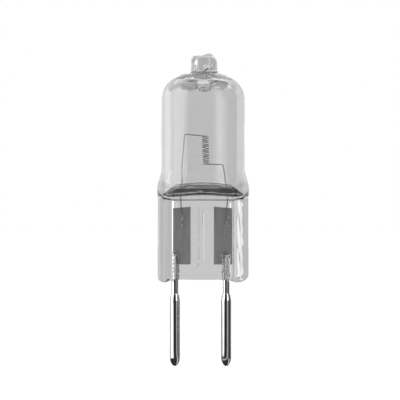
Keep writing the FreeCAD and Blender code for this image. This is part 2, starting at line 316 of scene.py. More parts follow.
# The gas space: its ceiling, which sags over the drop, and how far it follows the flare
CEILING = 35.68
CEILING_SAG = 0.85
SAG_PLACE = (0.1, 0.3)
SAG_WIDTH = 2.6
INNER_FLARE_SHARE = 0.4
INNER_FLARE_FROM = (21.8, 22.7)

# Its wedge-shaped floor: height, rounded ridge, a faint step (place, width, height) and waves,
# and its edge, which is sharper at the two ends
GAS_FLOOR = FOLD_HEIGHT + 0.55
FLOOR_SOFTNESS = 0.1732
FLOOR_STEP = (3.1, 0.22, 0.016)
FLOOR_WAVE_HEIGHT = 0.0025
FLOOR_WAVES = ((3.1, 2.0, 0, 0), (2.3, -3.7, 0, 0.5))
FLOOR_EDGE = 0.4
FLOOR_EDGE_SHARPER = 0.22
FLOOR_ENDS = (3.0, 4.0)

# Lobes of the drop that hangs under the tip: middle, half width and half height, and their grain
LOBES = (
    ((-1.7, -0.3, 34.5), 1.05, 0.62),
    ((0.25, 0.1, 34.15), 0.75, 0.36),
    ((1.95, -0.2, 34.75), 1.1, 0.8),
)
LOBE_BLEND = 0.3
LOBE_GRAIN = 0.05
LOBE_WAVES = ((6.5, 0, 0, 1.0), (0, 5.5, 3.0, 0), (-2.0, 0, 7.5, 0))


def gas_space(x, y, z):
    """The gas space, with its wedge-shaped floor and the drop that hangs under the tip."""
    sag = CEILING_SAG * bump(np.hypot(x - SAG_PLACE[0], y - SAG_PLACE[1]), SAG_WIDTH)
    half_width = CAVITY_RADIUS + INNER_FLARE_SHARE * flare_spread(z) * fade(z, *INNER_FLARE_FROM)
    away_r = np.hypot(x * CAVITY_RADIUS / half_width, y) - CAVITY_RADIUS + CEILING_CORNER
    away_z = z - CEILING + sag + CEILING_CORNER
    outside = np.hypot(np.maximum(away_r, 0), np.maximum(away_z, 0))
    room = outside + np.minimum(np.maximum(away_r, away_z), 0) - CEILING_CORNER
    grain = LOBE_GRAIN * waves(x, y, z, LOBE_WAVES)
    for (lobe_x, lobe_y, lobe_z), lobe_half_width, lobe_half_height in LOBES:
        across = np.hypot(x - lobe_x, y - lobe_y) / lobe_half_width
        reach = np.hypot(across, (z - lobe_z) / lobe_half_height)
        room = smooth_max(room, (1 - reach) * lobe_half_height + grain, LOBE_BLEND)
    step_place, step_width, step_height = FLOOR_STEP
    rise = np.hypot(y, FLOOR_SOFTNESS) * math.sin(FLOOR_SLOPE)
    rise = rise + step_height * bump(np.abs(y) - step_place, step_width)
    rise = rise + FLOOR_WAVE_HEIGHT * waves(x, y, z, FLOOR_WAVES)
    below = rise - (z - GAS_FLOOR) * math.cos(FLOOR_SLOPE)
    return smooth_max(room, below, FLOOR_EDGE - FLOOR_EDGE_SHARPER * fade(np.abs(x), *FLOOR_ENDS))


# Hollows in the glass, each a row of round-ended bars: start, end and radius
def capsule(x, y, z, start, end, radius):
    """A round-ended bar between two points."""
    start = np.array(start)
    along = np.array(end) - start
    length = along.dot(along)
    share = ((x - start[0]) * along[0] + (y - start[1]) * along[1] + (z - start[2]) * along[2]) / length
    share = np.clip(share, 0, 1)
    away_x = x - start[0] - share * along[0]
    away_y = y - start[1] - share * along[1]
    away_z = z - start[2] - share * along[2]
    return np.sqrt(away_x ** 2 + away_y ** 2 + away_z ** 2) - radius


def joined_bars(x, y, z, bars, blend):
    """Round-ended bars that run into each other."""
    hollow = capsule(x, y, z, *bars[0])
    for bar in bars[1:]:
        hollow = smooth_min(hollow, capsule(x, y, z, *bar), blend)
    return hollow


TIP_HOLLOWS = (
    ((0.1, -0.3, 36.55), (0.42, -0.1, 37.0), 0.2),
    ((0.35, 0.1, 36.8), (0.2, 0.3, 37.15), 0.17),
    ((0.65, -0.5, 36.7), (1.25, -0.35, 37.55), 0.13),
    ((-0.85, -0.5, 36.35), (-0.8, -0.5, 37.2), 0.13),
    ((-0.95, -0.3, 37.75), (-0.75, -0.45, 38.1), 0.18),
    ((1.05, 0.1, 38.0), (1.45, 0.2, 37.8), 0.2),
    ((0.95, -0.6, 37.95), (1.3, -0.5, 37.75), 0.1),
    ((-0.75, -0.3, 36.5), (-0.45, -0.2, 36.9), 0.1),
)
TIP_HOLLOW_BLEND = 0.1
TIP_HOLLOW_GRAIN = 0.03
TIP_HOLLOW_WAVES = ((9.0, 0, 5.0, 0), (0, 8.0, -6.0, 0))


def tip_voids(x, y, z):
    """Small hollows left in the tip where the exhaust tube closed up."""
    grain = TIP_HOLLOW_GRAIN * waves(x, y, z, TIP_HOLLOW_WAVES)
    return joined_bars(x, y, z, TIP_HOLLOWS, TIP_HOLLOW_BLEND) + grain


# Over the left weld, over the right weld, over the left lead's top, and down the web
PRESS_HOLLOWS = (
    ((-2.72, -0.6, 18.8), (-2.5, -0.6, 18.5), 0.09),
    ((-2.5, -0.6, 18.5), (-2.55, -0.6, 18.25), 0.1),
    ((-2.62, -0.6, 18.02), (-2.48, -0.6, 17.86), 0.11),
    ((-2.58, -0.6, 17.52), (-2.56, -0.6, 17.42), 0.11),
    ((3.12, -0.6, 18.6), (3.02, -0.6, 18.2), 0.07),
    ((2.95, -0.6, 17.95), (2.86, -0.6, 17.7), 0.1),
    ((2.9, -0.6, 17.45), (3.0, -0.6, 17.32), 0.09),
    ((-3.85, -0.8, 14.15), (-3.5, -0.85, 14.3), 0.07),
    ((-3.5, -0.85, 14.3), (-3.25, -0.8, 14.0), 0.06),
    ((-3.7, -0.85, 13.75), (-3.35, -0.85, 13.6), 0.07),
    ((-0.55, -0.7, 19.7), (-0.53, -0.7, 18.8), 0.05),
    ((-0.55, -0.7, 18.65), (-0.5, -0.7, 17.1), 0.06),
    ((-0.52, -0.7, 16.9), (-0.5, -0.7, 15.3), 0.045),
    ((-0.5, -0.7, 14.9), (-0.54, -0.7, 13.3), 0.055),
    ((-0.1, -0.6, 19.2), (-0.12, -0.6, 17.4), 0.03),
    ((-0.62, -0.5, 12.7), (-0.6, -0.5, 12.5), 0.07),
    ((-0.8, -0.5, 12.3), (-0.78, -0.5, 12.25), 0.06),
)
PRESS_HOLLOW_BLEND = 0.05


def press_voids(x, y, z):
    """Small hollows over the welds and capillaries down the web."""
    return joined_bars(x, y, z, PRESS_HOLLOWS, PRESS_HOLLOW_BLEND)


# Meshes from distances
def surface_net(distance, low, high, step):
    """Points and four-sided faces on the surface where the distance is nought."""
    axes = []
    for start, end in zip(low, high):
        axes.append(np.arange(start, end + step, step))
    x, y, z = np.meshgrid(*axes, indexing="ij")
    field = distance(x, y, z)
    inside = field < 0
    shape = tuple(n - 1 for n in field.shape)
    total = np.zeros(shape + (3,))
    count = np.zeros(shape)
    corners = [(i, j, k) for i in (0, 1) for j in (0, 1) for k in (0, 1)]

    def part(values, corner):
        i, j, k = corner
        return values[i:i + shape[0], j:j + shape[1], k:k + shape[2]]

    for corner in corners:
        for axis in range(3):
            if corner[axis]:
                continue
            other = list(corner)
            other[axis] = 1
            first = part(field, corner)
            second = part(field, other)
            crossed = part(inside, corner) != part(inside, other)
            gap = np.where(crossed, first - second, 1.0)
            share = np.where(crossed, first / gap, 0.0)
            for direction in range(3):
                place = corner[direction] + (share if direction == axis else 0.0)
                total[..., direction] += np.where(crossed, place, 0.0)
            count += crossed
    used = count > 0
    index = np.full(shape, -1, dtype=np.int64)
    index[used] = np.arange(int(used.sum()))
    base = np.argwhere(used).astype(float)
    points = base + total[used] / count[used][:, None]
    points = points * step + np.array([axis[0] for axis in axes])
    faces = []
    for axis in range(3):
        ahead = [slice(None)] * 3
        behind = [slice(None)] * 3
        ahead[axis] = slice(1, None)
        behind[axis] = slice(None, -1)
        crossed = inside[tuple(ahead)] != inside[tuple(behind)]
        spots = np.argwhere(crossed)
        u = (axis + 1) % 3
        v = (axis + 2) % 3
        keep = (spots[:, u] > 0) & (spots[:, v] > 0)
        keep &= (spots[:, u] < shape[u]) & (spots[:, v] < shape[v])
        spots = spots[keep]
        ring = []
        for du, dv in ((-1, -1), (0, -1), (0, 0), (-1, 0)):
            cell = spots.copy()
            cell[:, u] += du
            cell[:, v] += dv
            ring.append(index[cell[:, 0], cell[:, 1], cell[:, 2]])
        quads = np.stack(ring, axis=1)
        outward = inside[tuple(behind)][tuple(spots.T)]
        quads[~outward] = quads[~outward][:, ::-1]
        faces.append(quads)
    return points, np.concatenate(faces)


def slope_of(distance, points, reach):
    """The gradient of a distance at some points."""
    slopes = []
    for axis in range(3):
        offset = np.zeros(3)
        offset[axis] = reach
        ahead = points + offset
        behind = points - offset
        rise = distance(*ahead.T) - distance(*behind.T)
        slopes.append(rise / (2 * reach))
    return np.stack(slopes, axis=1)


# How points settle on a surface: passes, how far the slope is felt for the moves and for the
# normals, the longest move in steps of the net, and the least values that are divided by
SETTLING_PASSES = 4
MOVE_REACH = 0.004
NORMAL_REACH = 0.02
LONGEST_MOVE = 0.5
LEAST_SLOPE = 1e-4
LEAST_LENGTH = 1e-9


def settled(distance, points, step):
    """Points moved onto the surface, and the surface's normals there."""
    for _ in range(SETTLING_PASSES):
        slope = slope_of(distance, points, MOVE_REACH)
        size = np.maximum((slope ** 2).sum(1), LEAST_SLOPE)
        move = -distance(*points.T)[:, None] * slope / size[:, None]
        length = np.linalg.norm(move, axis=1)
        limit = np.minimum(1, LONGEST_MOVE * step / np.maximum(length, LEAST_LENGTH))
        points = points + move * limit[:, None]
    normals = slope_of(distance, points, NORMAL_REACH)
    return points, normals / np.linalg.norm(normals, axis=1)[:, None]


def mesh_object(name, points, faces, material, normals=None):
    """A mesh in metres from points in millimetres, riding on the one body."""
    mesh = bpy.data.meshes.new(name)
    mesh.from_pydata((np.asarray(points) * MM).tolist(), [], [list(face) for face in faces])
    mesh.validate()
    mesh.shade_smooth()
    if normals is not None:
        mesh.normals_split_custom_set_from_vertices(normals.tolist())
    mesh.materials.append(material)
    piece = bpy.data.objects.new(name, mesh)
    bpy.context.scene.collection.objects.link(piece)
    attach(piece, "root")
    return piece


# Materials
def new_material(name):
    material = bpy.data.materials.new(name)
    material.use_nodes = True
    nodes = material.node_tree.nodes
    return material, nodes, material.node_tree.links, nodes["Principled BSDF"]


def noise(nodes, links, scale, detail, stretch=(1, 1, 1)):
    """A noise texture in object space, in waves per metre along each axis."""
    place = nodes.new("ShaderNodeTexCoord")
    mapping = nodes.new("ShaderNodeMapping")
    mapping.inputs["Scale"].default_value = stretch
    texture = nodes.new("ShaderNodeTexNoise")
    texture.inputs["Scale"].default_value = scale
    texture.inputs["Detail"].default_value = detail
    links.new(place.outputs["Object"], mapping.inputs["Vector"])
    links.new(mapping.outputs["Vector"], texture.inputs["Vector"])
    return texture.outputs["Fac"]


# The part of a noise texture's range that nearly all of its values lie in
NOISE_LOW = 0.3
NOISE_HIGH = 0.7


def spread_out(nodes, links, value, low, high):
    """A noise value's range mapped onto another."""
    node = nodes.new("ShaderNodeMapRange")
    node.inputs["From Min"].default_value = NOISE_LOW
    node.inputs["From Max"].default_value = NOISE_HIGH
    node.inputs["To Min"].default_value = low
    node.inputs["To Max"].default_value = high
    links.new(value, node.inputs["Value"])
    return node.outputs["Result"]


def shades(nodes, links, value, dark, light):
    """A noise value's range mapped onto the colours between a dark and a light one."""
    node = nodes.new("ShaderNodeValToRGB")
    stops = ((NOISE_LOW, dark), (NOISE_HIGH, light))
    for element, (place, colour) in zip(node.color_ramp.elements, stops):
        element.position = place
        element.color = (*colour, 1)
    links.new(value, node.inputs["Fac"])
    return node.outputs["Color"]


# Quartz: its grey tint at each surface and what it absorbs in a metre, both painted shade that darkens
# the clear glass, its index and its faint haze
PAINTED_SHADE_TINT = 0.81
PAINTED_SHADE_ABSORPTION = 115.0
QUARTZ_INDEX = 1.458
QUARTZ_HAZE = 0.012
HAZE_SCALE = 420
HAZE_DETAIL = 3


def glass_material():
    material, nodes, links, shader = new_material("fused_quartz")
    # Painted shade: a grey base colour that darkens the clear glass at every surface
    shader.inputs["Base Color"].default_value = (PAINTED_SHADE_TINT, PAINTED_SHADE_TINT, PAINTED_SHADE_TINT, 1)
    shader.inputs["Transmission Weight"].default_value = 1
    shader.inputs["IOR"].default_value = QUARTZ_INDEX
    haze = noise(nodes, links, HAZE_SCALE, HAZE_DETAIL)
    links.new(spread_out(nodes, links, haze, 0.0, QUARTZ_HAZE), shader.inputs["Roughness"])
    # Painted shade: a black absorption that darkens the clear glass more where it is thicker
    volume = nodes.new("ShaderNodeVolumeAbsorption")
    volume.inputs["Color"].default_value = (0.0, 0.0, 0.0, 1)
    volume.inputs["Density"].default_value = PAINTED_SHADE_ABSORPTION
    links.new(volume.outputs["Volume"], nodes["Material Output"].inputs["Volume"])
    return material


GRAIN_DETAIL = 6
GRAIN_STRENGTH = 0.5


def metal_material(name, dark, light, roughness, stretch, scale, relief):
    """A drawn or rolled metal with its grain along one axis."""
    material, nodes, links, shader = new_material(name)
    shader.inputs["Metallic"].default_value = 1
    grain = noise(nodes, links, scale, GRAIN_DETAIL, stretch)
    links.new(shades(nodes, links, grain, dark, light), shader.inputs["Base Color"])
    links.new(spread_out(nodes, links, grain, *roughness), shader.inputs["Roughness"])
    bumps = nodes.new("ShaderNodeBump")
    bumps.inputs["Strength"].default_value = GRAIN_STRENGTH
    bumps.inputs["Distance"].default_value = relief
    links.new(grain, bumps.inputs["Height"])
    links.new(bumps.outputs["Normal"], shader.inputs["Normal"])
    return material


QUARTZ = glass_material()
TUNGSTEN = metal_material(
    "drawn_tungsten",
    dark=(0.2, 0.2, 0.21),
    light=(0.38, 0.38, 0.39),
    roughness=(0.25, 0.4),
    stretch=(1, 1, 1),
    scale=9000,
    relief=4e-6,
)
FOIL = metal_material(
    "molybdenum_foil",
    dark=(0.4, 0.4, 0.4),
    light=(0.64, 0.64, 0.64),
    roughness=(0.45, 0.65),
    stretch=(3, 1, 0.4),
    scale=900,
    relief=1e-5,
)
ROD = metal_material(
    "molybdenum_rod",
    dark=(0.6, 0.6, 0.59),
    light=(0.82, 0.82, 0.81),
    roughness=(0.1, 0.2),
    stretch=(6, 6, 1),
    scale=1500,
    relief=6e-6,
)
NICKEL = metal_material(
    "bright_nickel",
    dark=(0.84, 0.83, 0.82),
    light=(0.95, 0.95, 0.94),
    roughness=(0.06, 0.14),
    stretch=(1, 1, 0.3),
    scale=1400,
    relief=5e-6,
)


# The quartz envelope: each surface of the glass with the box that holds it, the step of its
# net, and which way it faces: out of the glass, or into a space in it
GLASS_STEP = 0.142
TIP_HOLLOW_STEP = 0.06
PRESS_HOLLOW_STEP = 0.045
OUTWARD = 1
INWARD = -1
GLASS_SURFACES = (
    (glass_outside, (-6.1, -5.5, 9.9), (6.1, 5.5, 39.1), GLASS_STEP, OUTWARD),
    (gas_space, (-4.6, -4.5, 20.9), (4.6, 4.5, 36.0), GLASS_STEP, INWARD),
    (tip_voids, (-1.5, -1.2, 36.0), (2.0, 1.2, 38.6), TIP_HOLLOW_STEP, INWARD),
    (press_voids, (-4.1, -1.0, 12.0), (3.4, -0.3, 19.9), PRESS_HOLLOW_STEP, INWARD),
)


def envelope():
    """All surfaces of the glass in one mesh."""
    all_points = []
    all_faces = []
    all_normals = []
    count = 0
    for distance, low, high, step, way in GLASS_SURFACES:
        points, faces = surface_net(distance, low, high, step)
        points, normals = settled(distance, points, step)
        all_points.append(points)
        all_faces.append(faces[:, ::way] + count)
        all_normals.append(way * normals)
        count += len(points)
    return mesh_object(
        "quartz_glass",
        np.concatenate(all_points),
        np.concatenate(all_faces),
        QUARTZ,
        np.concatenate(all_normals),
    )


glass = envelope()
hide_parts("quartz_envelope")


# Wires and rods
def ring_faces(rows, sides):
    """Faces of a closed tube of rings, with a flat end at each end."""
    faces = []
    for row in range(rows - 1):
        for index in range(sides):
            after = (index + 1) % sides
            here = row * sides
            above = here + sides
            faces.append((here + index, here + after, above + after, above + index))
    last = (rows - 1) * sides
    faces.append(tuple(range(sides))[::-1])
    faces.append(tuple(last + index for index in range(sides)))
    return faces


def unit(vector):
    return vector / np.linalg.norm(vector)


# A way that no wire runs, from which the first ring's side is taken
ASIDE = (0.0, 1.0, 0.02)


def tube(path, radii, sides):
    """Points and faces of a closed tube along a path, with a radius at each point."""
    path = np.asarray(path, float)
    ways = np.gradient(path, axis=0)
    ways = ways / np.linalg.norm(ways, axis=1)[:, None]
    side = unit(np.cross(ways[0], ASIDE))
    points = []
    for spot, way, radius in zip(path, ways, radii):
        side = unit(side - way * side.dot(way))
        other = np.cross(way, side)
        for index in range(sides):
            angle = 2 * math.pi * index / sides
            points.append(spot + radius * (side * math.cos(angle) + other * math.sin(angle)))
    return points, ring_faces(len(path), sides)


def turned(outline, x, sides):
    """A body turned about an upright axis at x from (radius, height) pairs."""
    points = []
    for radius, height in outline:
        for index in range(sides):
            angle = 2 * math.pi * index / sides
            points.append((x + radius * math.cos(angle), radius * math.sin(angle), height))
    return points, ring_faces(len(outline), sides)


def smooth_line(corners, count):
    """Points along a curve through the corners."""
    corners = np.asarray(corners, float)
    padded = np.vstack([2 * corners[0] - corners[1], corners, 2 * corners[-1] - corners[-2]])
    line = []
    for index in range(1, len(padded) - 2):
        before, start, end, after = padded[index - 1:index + 3]
        for share in np.arange(count) / count:
            line.append(
                0.5
                * (
                    2 * start
                    + (end - before) * share
                    + (2 * before - 5 * start + 4 * end - after) * share ** 2
                    + (3 * start - before - 3 * end + after) * share ** 3
                )
            )
    line.append(padded[-2])
    return line


# The filament: a leaning coil whose turns stand a little unevenly
COIL_TURNS = 14
COIL_PITCH = 0.252
COIL_RADIUS = 0.42
COIL_BOTTOM = 25.0
COIL_TOP_X = 0.26
COIL_LEAN = math.tan(math.radians(2.4))
COIL_UNEVENNESS = 0.16
COIL_UNEVEN_WAVE = 2.4
WIRE_RADIUS = 0.065
COIL_WIRE_RADIUS = 0.04
WIRE_SIDES = 12
TURN_STEPS = 32

coil = []
for index in range(COIL_TURNS * TURN_STEPS + 1):
    angle = math.pi / 2 + 2 * math.pi * index / TURN_STEPS
    turns = index / TURN_STEPS
    uneven = math.sin(COIL_UNEVEN_WAVE * turns) * math.sin(math.pi * turns / COIL_TURNS)
    rise = COIL_PITCH * (turns + COIL_UNEVENNESS * uneven)
    lean = (COIL_PITCH * COIL_TURNS - rise) * COIL_LEAN
    x = COIL_TOP_X + COIL_RADIUS * math.cos(angle) + lean
    coil.append((x, COIL_RADIUS * math.sin(angle), COIL_BOTTOM + rise))

# The legs: a short tail out of the coil, across, round the corner and down to the foil
LEG_Y = LEAD_RADIUS - WIRE_RADIUS
LEG_STEPS = 8
TAIL = 0.25
TAIL_Y = coil[0][1] + 0.02
COIL_TOP = coil[-1][2]
RIGHT_LEG = (
    (coil[0][0] + TAIL, TAIL_Y, COIL_BOTTOM + 0.01),
    (1.2, 0.42, COIL_BOTTOM + 0.02),
    (2.1, 0.4, COIL_BOTTOM - 0.01),
    (2.42, 0.39, COIL_BOTTOM - 0.07),
    (2.55, 0.385, COIL_BOTTOM - 0.28),
    (2.63, 0.38, COIL_BOTTOM - 0.75),
    (2.97, LEG_Y, 22.5),
    (3.05, LEG_Y, 21.0),
    (2.85, LEG_Y, 19.0),
    (2.66, LEG_Y, 17.75),
)
LEFT_LEG = (
    (coil[-1][0] - TAIL, TAIL_Y, COIL_TOP - 0.01),
    (-1.0, 0.42, COIL_TOP + 0.1),
    (-2.05, 0.4, COIL_TOP + 0.19),
    (-2.27, 0.39, COIL_TOP + 0.13),
    (-2.36, 0.385, COIL_TOP - 0.1),
    (-2.42, 0.38, COIL_TOP - 0.8),
    (-2.78, LEG_Y, 22.5),
    (-2.76, LEG_Y, 20.5),
    (-2.66, LEG_Y, 18.6),
    (-2.6, LEG_Y, 17.75),
)
right_leg = smooth_line(RIGHT_LEG, LEG_STEPS)
left_leg = smooth_line(LEFT_LEG, LEG_STEPS)
wire_path = right_leg[::-1] + coil + left_leg
wire_radii = [WIRE_RADIUS] * len(right_leg)
wire_radii += [COIL_WIRE_RADIUS] * len(coil)
wire_radii += [WIRE_RADIUS] * len(left_leg)
wire_points, wire_faces = tube(wire_path, wire_radii, WIRE_SIDES)
wire = mesh_object("filament_wire", wire_points, wire_faces, TUNGSTEN)
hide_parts("tungsten_filament")


# The foils: half their thickness at the edge, what it grows by, and over what share of the half
# width. The folds have a height, waves along x, along z and across the foil, and a share of the phase.
FOIL_WIDTH = 2.4
FOIL_FOOT = 12.6
FOIL_HEIGHT = 7.05
FOIL_Y = LEAD_RADIUS + 0.018
FOIL_HALF_EDGE = 0.005
FOIL_SWELL = 0.013
FOIL_FEATHER = 0.3
FOIL_FOLDS = ((0.008, 0, 5.1, 1.7, 1), (0.006, 0, 11.0, -6.0, 2), (0.004, 23.0, 4.0, 0, 0))
FOIL_COLUMNS = 48
FOIL_ROWS = 120
FOIL_TILT = 0.1
LEFT_FOIL_X = LEFT_PIN_X + 0.74
RIGHT_FOIL_X = RIGHT_PIN_X - 0.33
LEFT_PHASE = 0.4
RIGHT_PHASE = 2.1


def foil_sheet(name, node, centre_x, tilt, phase):
    """A thin foil with feathered edges and fine folds, and a slightly tilted top."""
    points = []
    for side in (-1, 1):
        for row in range(FOIL_ROWS + 1):
            for column in range(FOIL_COLUMNS + 1):
                u = column / FOIL_COLUMNS * 2 - 1
                x = centre_x + u * FOIL_WIDTH / 2
                z = FOIL_FOOT + row / FOIL_ROWS * (FOIL_HEIGHT + tilt * u)
                thick = FOIL_HALF_EDGE + FOIL_SWELL * min(1, (1 - abs(u)) / FOIL_FEATHER)
                fold = 0
                for height, along_x, along_z, across, turn in FOIL_FOLDS:
                    fold += height * math.sin(along_x * x + along_z * z + across * u + turn * phase)
                points.append((x, FOIL_Y + side * thick + fold * (1 - u * u), z))
    faces = []
    sheet = (FOIL_ROWS + 1) * (FOIL_COLUMNS + 1)

    def spot(side, row, column):
        return side * sheet + row * (FOIL_COLUMNS + 1) + column

    for row in range(FOIL_ROWS):
        for column in range(FOIL_COLUMNS):
            front = [spot(0, row, column), spot(0, row, column + 1)]
            front += [spot(0, row + 1, column + 1), spot(0, row + 1, column)]
            back = [spot(1, row, column), spot(1, row + 1, column)]
            back += [spot(1, row + 1, column + 1), spot(1, row, column + 1)]
            faces.append(front)
            faces.append(back)
    for row in range(FOIL_ROWS):
        for column, way in ((0, 1), (FOIL_COLUMNS, -1)):
            ring = [spot(0, row, column), spot(0, row + 1, column)]
            ring += [spot(1, row + 1, column), spot(1, row, column)]
            faces.append(ring[::way])
    for column in range(FOIL_COLUMNS):
        for row, way in ((0, 1), (FOIL_ROWS, -1)):
            ring = [spot(0, row, column), spot(0, row, column + 1)]
            ring += [spot(1, row, column + 1), spot(1, row, column)]
            faces.append(ring[::way])
    piece = mesh_object(name, points, faces, FOIL)
    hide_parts(node)


foil_sheet("foil_sheet_left", "foil_left", LEFT_FOIL_X, FOIL_TILT, LEFT_PHASE)
foil_sheet("foil_sheet_right", "foil_right", RIGHT_FOIL_X, -FOIL_TILT, RIGHT_PHASE)


# The leads: chamfered foot, straight part and rounded top, given by radius and distance below the top
BODY_ROWS = 40
LEAD_SIDES = 48
LEAD_FOOT_RADIUS = 0.36
LEAD_CHAMFER = 0.04
LEAD_STRAIGHT_FROM = 0.1
LEAD_STRAIGHT_TO = 0.2
LEAD_ROUND = ((0.385, 0.1), (0.34, 0.03), (0.27, 0.0))


def lead_rod(name, node, x):
    """A straight rod, from inside its pin to its foil."""
    outline = [(LEAD_FOOT_RADIUS, LEAD_FOOT), (LEAD_RADIUS, LEAD_FOOT + LEAD_CHAMFER)]
    for height in np.linspace(LEAD_FOOT + LEAD_STRAIGHT_FROM, LEAD_TOP - LEAD_STRAIGHT_TO, BODY_ROWS):
        outline.append((LEAD_RADIUS, height))
    for radius, depth in LEAD_ROUND:
        outline.append((radius, LEAD_TOP - depth))
    points, faces = turned(outline, x, LEAD_SIDES)
    rod = mesh_object(name, points, faces, ROD)
    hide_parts(node)


# The pins: the blunt end by radius and height, the ogive nose and the straight part, the shoulder by
# inset and rise, and the crimp with its bore by radius and distance below the top
PIN_SIDES = 64
PIN_END = ((0.03, 0.0), (0.1, 0.012), (0.16, 0.045))
PIN_END_RADIUS = 0.15
NOSE_STEPS = 14
PIN_STRAIGHT = (0.04, 0.98)
PIN_SHOULDER = ((0.004, 0.0), (0.02, 0.07))
PIN_CRIMP = ((0.5, 0.22), (0.465, 0.06), (0.45, 0.01), (0.435, 0.0), (0.42, 0.03), (0.42, 3.3))


def pin_body(name, node, x):
    """A thick contact pin with a pointed nose, crimped over its lead."""
    outline = list(PIN_END)
    inset = PIN_RADIUS - PIN_END_RADIUS
    ogive = (inset ** 2 + PIN_NOSE ** 2) / (2 * inset)
    for step in range(1, NOSE_STEPS + 1):
        height = PIN_NOSE * step / NOSE_STEPS
        radius = PIN_RADIUS - ogive + math.sqrt(ogive ** 2 - (PIN_NOSE - height) ** 2)
        outline.append((radius, height))
    shoulder = PIN_LENGTH - PIN_TAPER
    for share in np.linspace(*PIN_STRAIGHT, BODY_ROWS):
        outline.append((PIN_RADIUS, PIN_NOSE + share * (shoulder - PIN_NOSE)))
    for inset, rise in PIN_SHOULDER:
        outline.append((PIN_RADIUS - inset, shoulder + rise))
    for radius, depth in PIN_CRIMP:
        outline.append((radius, PIN_LENGTH - depth))
    points, faces = turned(outline, x, PIN_SIDES)
    body = mesh_object(name, points, faces, NICKEL)
    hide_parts(node)


lead_rod("lead_rod_left", "outer_lead_left", LEFT_PIN_X)
lead_rod("lead_rod_right", "outer_lead_right", RIGHT_PIN_X)
pin_body("pin_body_left", "contact_pin_left", LEFT_PIN_X)
pin_body("pin_body_right", "contact_pin_right", RIGHT_PIN_X)


# Floor, backdrop and cards
def shown_white(nodes, links, plain_strength):
    """One for rays that see the background, in metal or through glass too, else a plain strength."""
    path = nodes.new("ShaderNodeLightPath")
    first = nodes.new("ShaderNodeMath")
    first.operation = "MAXIMUM"
    second = nodes.new("ShaderNodeMath")
    second.operation = "MAXIMUM"
    links.new(path.outputs["Is Camera Ray"], first.inputs[0])
    links.new(path.outputs["Is Glossy Ray"], first.inputs[1])
    links.new(first.outputs["Value"], second.inputs[0])
    links.new(path.outputs["Is Transmission Ray"], second.inputs[1])
    seen = nodes.new("ShaderNodeMapRange")
    seen.inputs["To Min"].default_value = plain_strength
    seen.inputs["To Max"].default_value = 1.0
    links.new(second.outputs["Value"], seen.inputs["Value"])
    return seen.outputs["Result"]


def glow_of(nodes, tone):
    """An even glow of one tone."""
    glow = nodes.new("ShaderNodeEmission")
    glow.inputs["Color"].default_value = (tone, tone, tone, 1)
    return glow


FLOOR_TONE = 0.82
FLOOR_ROUGHNESS = 0.9
FLOOR_GLOW = 0.62


def floor_material():
    """A pale matt floor, which the camera, metal and glass see near white."""
    material, nodes, links, shader = new_material("pale_floor")
    shader.inputs["Base Color"].default_value = (FLOOR_TONE, FLOOR_TONE, FLOOR_TONE, 1)
    shader.inputs["Roughness"].default_value = FLOOR_ROUGHNESS
    glow = glow_of(nodes, FLOOR_GLOW)
    links.new(shown_white(nodes, links, 0.0), glow.inputs["Strength"])
    both = nodes.new("ShaderNodeAddShader")
    links.new(shader.outputs["BSDF"], both.inputs[0])
    links.new(glow.outputs["Emission"], both.inputs[1])
    links.new(both.outputs["Shader"], nodes["Material Output"].inputs["Surface"])
    material.cycles.emission_sampling = "NONE"
    return material


def card_material(name, tone):
    """A card that shows one tone, whatever the light on it."""
    material, nodes, links, _ = new_material(name)
    glow = glow_of(nodes, tone)
    links.new(glow.outputs["Emission"], nodes["Material Output"].inputs["Surface"])
    material.cycles.emission_sampling = "NONE"
    return material


BLACK = card_material("black_card", 0.03)
GREY = card_material("grey_card", 0.42)
DIM = card_material("dim_card", 0.2)
SILVER = card_material("silver_card", 0.6)
PALE = card_material("pale_card", 0.78)


def stage_mesh(name, points, faces, material):
    """A floor or card, which is no part of the object."""
    mesh = bpy.data.meshes.new(name)
    mesh.from_pydata((np.asarray(points) * MM).tolist(), [], faces)
    mesh.materials.append(material)
    card = bpy.data.objects.new(name, mesh)
    bpy.context.scene.collection.objects.link(card)
    return card


def flat_card(name, corners, height, material):
    """A level card with four corners."""
    return stage_mesh(name, [(x, y, height) for x, y in corners], [(0, 1, 2, 3)], material)


def shown_only(card, through_glass):
    """Show a card only through the glass, or else only in reflections."""
    card.visible_camera = False
    card.visible_diffuse = False
    card.visible_shadow = False
    card.visible_glossy = not through_glass
    card.visible_transmission = through_glass


CARD_COLUMNS = 12


def flag(name, span, distance, heights, material, to_middle=False, through_glass=False):
    """An upright card, curved round the object over a span of degrees, with a floor to its middle
    where that is asked for."""
    points = []
    for column in range(CARD_COLUMNS + 1):
        angle = math.radians(span[0] + (span[1] - span[0]) * column / CARD_COLUMNS)
        for height in heights:
            points.append((distance * math.sin(angle), -distance * math.cos(angle), height))
    faces = []
    for column in range(CARD_COLUMNS):
        here = 2 * column
        faces.append((here, here + 2, here + 3, here + 1))
    if to_middle:
        points.append((MOUNT_SHIFT, 0, heights[0]))
        for column in range(CARD_COLUMNS):
            faces.append((2 * column, 2 * column + 2, len(points) - 1))
    shown_only(stage_mesh(name, points, faces, material), through_glass)


FLOOR_HALF = 900
FLOOR_CORNERS = (
    (-FLOOR_HALF, -FLOOR_HALF),
    (FLOOR_HALF, -FLOOR_HALF),
    (FLOOR_HALF, FLOOR_HALF),
    (-FLOOR_HALF, FLOOR_HALF),
)
flat_card("floor", FLOOR_CORNERS, 0, floor_material())

# Tall dark cards that the metal and the glass reflect
TALL_DISTANCE = 150
TALL_HEIGHTS = (0.2, 140)
flag("flag_front", (-42, 27), TALL_DISTANCE, TALL_HEIGHTS, BLACK)
flag("flag_right", (62, 108), TALL_DISTANCE, TALL_HEIGHTS, BLACK)

